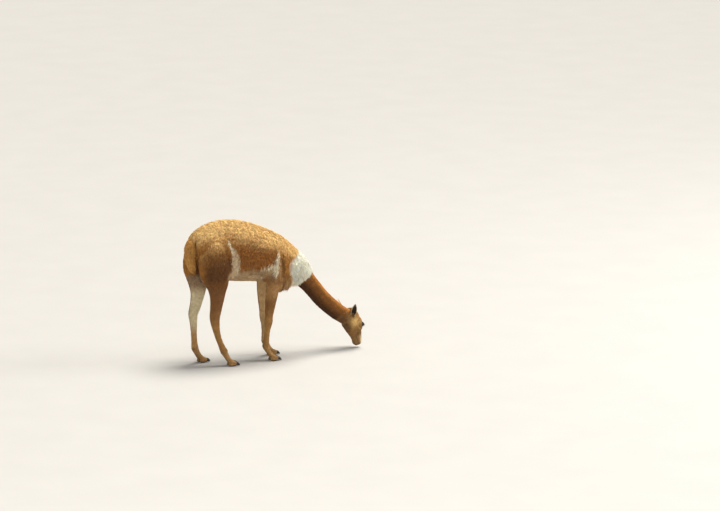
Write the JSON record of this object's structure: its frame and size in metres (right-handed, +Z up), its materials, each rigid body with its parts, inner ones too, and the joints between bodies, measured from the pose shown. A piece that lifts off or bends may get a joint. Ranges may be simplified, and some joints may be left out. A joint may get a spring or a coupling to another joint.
{
  "type": "vicuna",
  "caption": "Life-size still model of a grazing vicuna with neck and head lowered, woolly trunk, white bib and two-toed feet.",
  "frame": {"origin": "On the floor, at the middle of the box round the whole animal, seen from above.", "axes": "+X is the way the animal faces, +Y is its left side and +Z is up. It stands on Z = 0."},
  "size_m": [1.21, 0.3229, 0.9044],
  "materials": {
    "wool": "dense cinnamon fleece, paler on the back, white on the bib, groin and behind the elbows",
    "short_hair": "short flat cinnamon hair, pale on the inner sides of the legs and round the muzzle",
    "horn": "dull dark brown horn",
    "eye": "wet glossy near-black"
  },
  "bodies": {
    "root": {"torso": "wool", "neck": "wool", "tail": "wool", "head": "short_hair", "ear_right": "short_hair", "ear_left": "short_hair", "eye_right": "eye", "eye_left": "eye", "hind_right_upper": "short_hair", "hind_right_cannon": "short_hair", "hind_right_foot": "short_hair", "hind_right_nail_outer": "horn", "hind_right_nail_inner": "horn", "hind_left_upper": "short_hair", "hind_left_cannon": "short_hair", "hind_left_foot": "short_hair", "hind_left_nail_outer": "horn", "hind_left_nail_inner": "horn", "fore_right_upper": "short_hair", "fore_right_cannon": "short_hair", "fore_right_foot": "short_hair", "fore_right_nail_outer": "horn", "fore_right_nail_inner": "horn", "fore_left_upper": "short_hair", "fore_left_cannon": "short_hair", "fore_left_foot": "short_hair", "fore_left_nail_outer": "horn", "fore_left_nail_inner": "horn"}
  },
  "joints": []
}
